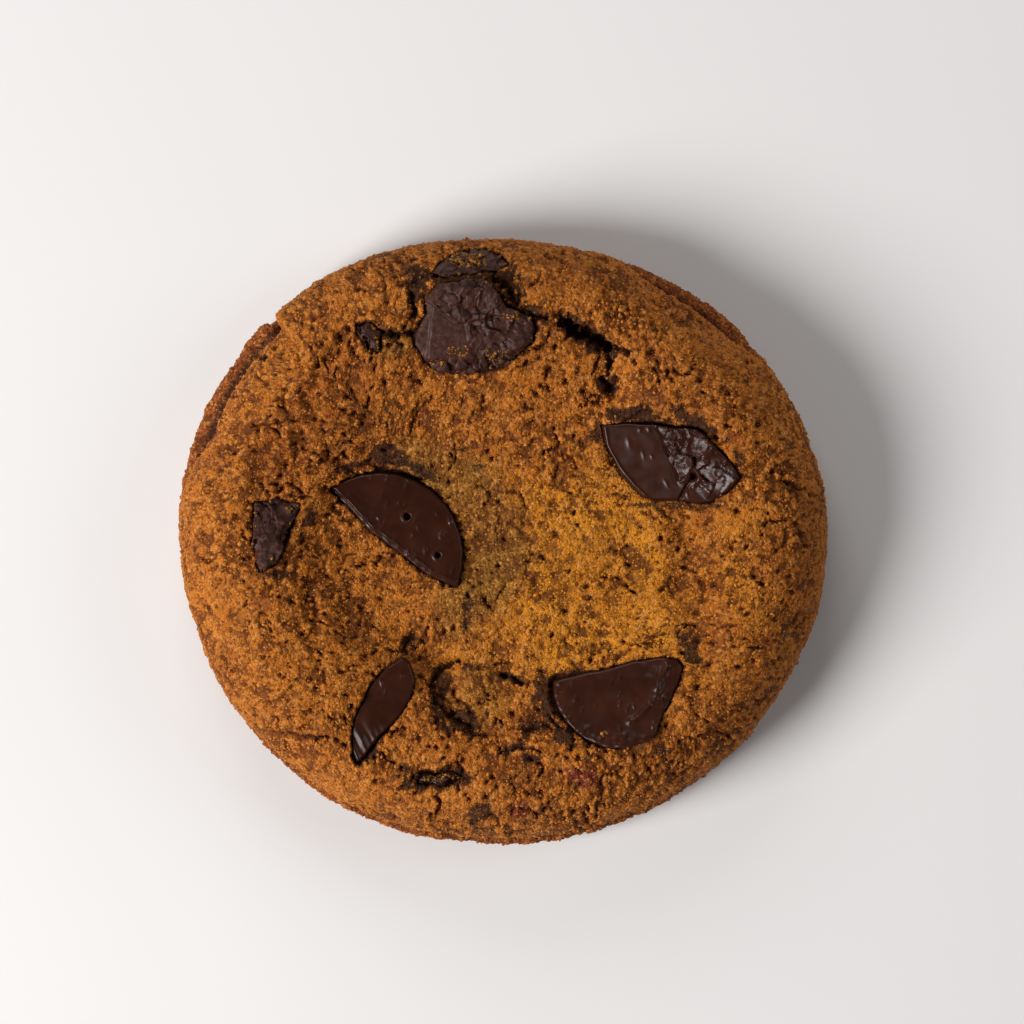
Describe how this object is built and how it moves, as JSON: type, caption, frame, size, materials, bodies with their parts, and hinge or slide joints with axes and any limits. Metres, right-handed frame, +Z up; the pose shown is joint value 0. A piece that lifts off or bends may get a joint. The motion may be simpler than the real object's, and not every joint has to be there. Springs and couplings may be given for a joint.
{
  "type": "chocolate chip cookie",
  "caption": "Round puffy chocolate chip cookie with a raised rim, a sunken middle and chunks of dark chocolate set in its top.",
  "frame": {"origin": "on the table under the middle of the round", "axes": "+Z up out of the top of the cookie, +X along its longest side"},
  "size_m": [0.0898, 0.0838, 0.0176],
  "materials": {
    "crumb": "matte, baked and grainy",
    "chocolate_gloss": "smooth, softly glossy",
    "chocolate_matte": "matte, dusty and broken"
  },
  "bodies": {
    "root": {"dough": "crumb", "chunk_centre": "chocolate_gloss", "chunk_right": "chocolate_gloss", "chunk_bottom": "chocolate_gloss", "chunk_sliver": "chocolate_gloss", "chunk_buried": "chocolate_gloss", "chunk_left": "chocolate_matte", "chunk_top": "chocolate_matte", "chunk_top_rear": "chocolate_matte", "chunk_top_left": "chocolate_matte"}
  },
  "joints": []
}
